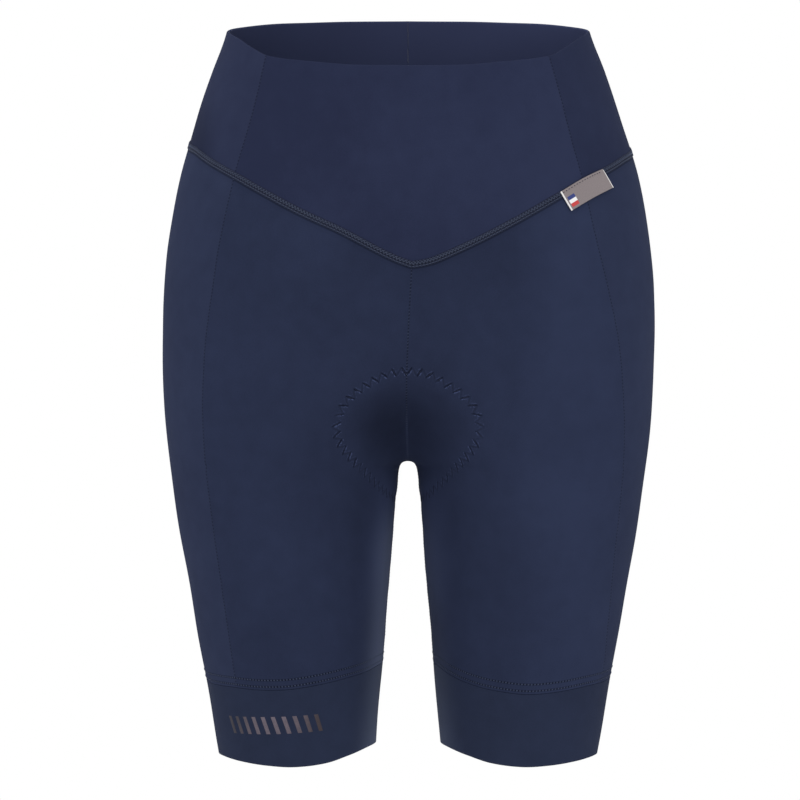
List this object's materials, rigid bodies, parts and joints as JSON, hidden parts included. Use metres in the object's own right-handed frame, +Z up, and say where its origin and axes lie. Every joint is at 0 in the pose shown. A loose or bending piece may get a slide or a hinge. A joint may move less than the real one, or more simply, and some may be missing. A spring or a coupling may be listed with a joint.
{
  "type": "cycling shorts",
  "caption": "Navy stretch cycling shorts filled out as worn: wide V-shaped waistband, front side seams, zigzag-sewn seat pad inside, gripper cuffs and a small plain woven label at the hip",
  "frame": {"origin": "the middle of the waist opening, level with its edge at the wearer's two sides", "axes": "+Z up towards the wearer's chest, -Y the front, +X the wearer's left"},
  "size_m": [0.3545, 0.2301, 0.5334],
  "materials": {
    "waistband_knit": "matte stretch knit, folded double",
    "front_knit": "matte stretch knit",
    "hip_knit": "matte stretch knit",
    "cuff_knit": "smooth elastic knit band",
    "pad_foam": "knit-faced foam",
    "thread": "textured polyester thread",
    "reflective_print": "thin reflective transfer",
    "label_weave": "dense woven tape"
  },
  "bodies": {
    "root": {"waistband_front": "waistband_knit", "waistband_left": "waistband_knit", "waistband_right": "waistband_knit", "leg_front_left": "front_knit", "leg_front_right": "front_knit", "leg_back_left": "hip_knit", "leg_back_right": "hip_knit", "cuff_left": "cuff_knit", "cuff_right": "cuff_knit", "seat_pad": "pad_foam", "label": "label_weave"}
  },
  "joints": []
}
